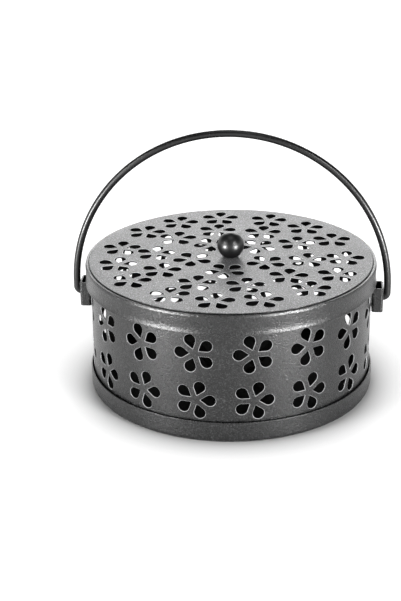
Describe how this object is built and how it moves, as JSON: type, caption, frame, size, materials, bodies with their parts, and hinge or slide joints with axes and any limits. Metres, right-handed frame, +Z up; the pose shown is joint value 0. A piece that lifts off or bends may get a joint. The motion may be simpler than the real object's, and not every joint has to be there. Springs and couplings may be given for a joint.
{
  "type": "mosquito coil holder",
  "caption": "Round perforated sheet-steel case with a lift-off lid, ball knob and wire bail, for burning a mosquito coil inside.",
  "frame": {"origin": "centre of the pan's flat underside, on the surface it stands on", "axes": "+Z up out of the lid, +X from the case's axis through the middle of one lug"},
  "size_m": [0.1768, 0.1606, 0.145],
  "materials": {
    "coated_steel": "fine-grained satin anthracite coating",
    "black_wire": "satin black coating",
    "gloss_black": "gloss black enamel",
    "zinc_steel": "bright zinc plating"
  },
  "bodies": {
    "case": {"base_pan": "coated_steel", "case_wall": "coated_steel", "coil_stand": "coated_steel", "lug_right": "coated_steel", "lug_right_rivet_low": "zinc_steel", "lug_right_rivet_high": "zinc_steel", "lug_left": "coated_steel", "lug_left_rivet_low": "zinc_steel", "lug_left_rivet_high": "zinc_steel"},
    "bail": {"bail": "black_wire"},
    "lid": {"lid_top": "coated_steel", "lid_band": "coated_steel", "knob": "gloss_black", "knob_washer": "zinc_steel", "knob_screw": "zinc_steel"}
  },
  "joints": [
    {"name": "bail_swing", "type": "hinge", "parent": "case", "child": "bail", "pos_m": [0, 0, 0.051], "axis": [1, 0, 0], "range_deg": [-116, 116]},
    {"name": "lid_lift", "type": "slide", "parent": "case", "child": "lid", "axis": [0, 0, 1], "range_m": [0, 0.0058]}
  ]
}
